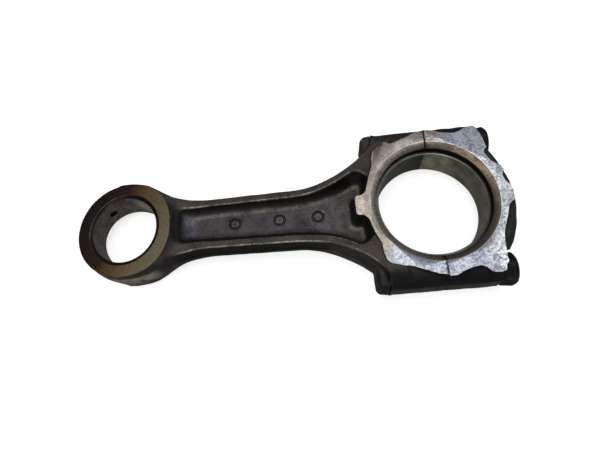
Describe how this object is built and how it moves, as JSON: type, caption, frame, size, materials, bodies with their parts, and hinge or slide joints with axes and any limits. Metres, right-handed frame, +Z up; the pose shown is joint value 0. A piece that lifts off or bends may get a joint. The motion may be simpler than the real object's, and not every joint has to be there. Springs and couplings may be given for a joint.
{
  "type": "connecting rod",
  "caption": "Fracture-split engine connecting rod with an I-section shank, wedge-shaped small end with a bush, and a bolted big-end cap holding split bearing shells.",
  "frame": {"origin": "on the resting plane under the middle of the part's bounding box, with the rod lying flat", "axes": "+X from the small end to the big end, +Y across the rod towards the left bolt, +Z up along both bores"},
  "size_m": [0.2734, 0.104, 0.034],
  "materials": {
    "forged_steel": "as-forged dark brown skin, side faces and bores machined bright",
    "cap_steel": "machined mottled silver side faces over dark forged flanks",
    "bush_bronze": "steel-backed bronze lining, fine bored",
    "rod_shell_overlay": "dark olive-grey bearing overlay on steel back",
    "cap_shell_overlay": "olive-grey bearing overlay on steel back",
    "left_bolt_black": "black phosphated",
    "right_bolt_black": "black phosphated"
  },
  "bodies": {
    "rod": {"rod_body": "forged_steel", "upper_bearing_shell": "rod_shell_overlay", "small_end_bush": "bush_bronze"},
    "cap": {"bearing_cap": "cap_steel", "lower_bearing_shell": "cap_shell_overlay"},
    "left_bolt": {"cap_bolt_left": "left_bolt_black"},
    "right_bolt": {"cap_bolt_right": "right_bolt_black"}
  },
  "joints": [
    {"name": "cap_slide", "type": "slide", "parent": "rod", "child": "cap", "axis": [1, 0, 0], "range_m": [0, 0.06]},
    {"name": "left_bolt_slide", "type": "slide", "parent": "cap", "child": "left_bolt", "axis": [1, 0, 0], "range_m": [0, 0.062]},
    {"name": "right_bolt_slide", "type": "slide", "parent": "cap", "child": "right_bolt", "axis": [1, 0, 0], "range_m": [0, 0.062]}
  ]
}
